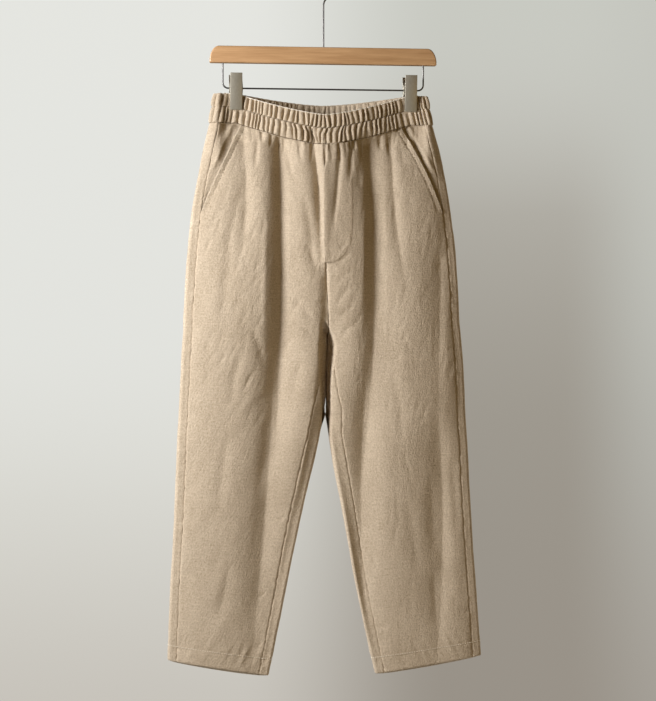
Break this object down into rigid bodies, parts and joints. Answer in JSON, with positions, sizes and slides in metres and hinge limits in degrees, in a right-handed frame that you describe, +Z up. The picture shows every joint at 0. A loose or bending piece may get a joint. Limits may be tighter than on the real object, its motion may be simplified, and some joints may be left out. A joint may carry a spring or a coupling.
{
  "type": "tapered elastic-waist trousers on a clip hanger",
  "caption": "Tapered pull-on trousers with a gathered elastic waist, mock fly and slanted side pockets, hung flat by the waist from a wooden bar hanger with sliding clips.",
  "frame": {"origin": "inside top of the hanger's hook, where it hangs on a rod or peg", "axes": "+Z up, along the hanging height; -Y is the front of the trousers, +Y the back; X runs along the hanger bar, with the leg on the viewer's left at -X"},
  "size_m": [0.502, 0.0823, 1.1265],
  "materials": {
    "linen": "plain-woven linen and cotton, washed and slubby",
    "band_linen": "the same cloth, gathered over elastic",
    "beech": "clear satin varnish",
    "dark_wire": "dark plated round wire",
    "satin_steel": "satin plated sheet, slightly olive"
  },
  "bodies": {
    "root": {"front_left": "linen", "front_right": "linen", "back_left": "linen", "back_right": "linen", "pocket_facing_left": "linen", "pocket_facing_right": "linen", "fly_flap": "linen", "waistband_front": "band_linen", "waistband_back": "band_linen", "hanger_bar": "beech", "hanger_hook": "dark_wire", "rail_wire": "dark_wire", "clip_left_front_leaf": "satin_steel", "clip_left_back_leaf": "satin_steel", "clip_left_spring": "satin_steel", "clip_right_front_leaf": "satin_steel", "clip_right_back_leaf": "satin_steel", "clip_right_spring": "satin_steel"}
  },
  "joints": []
}
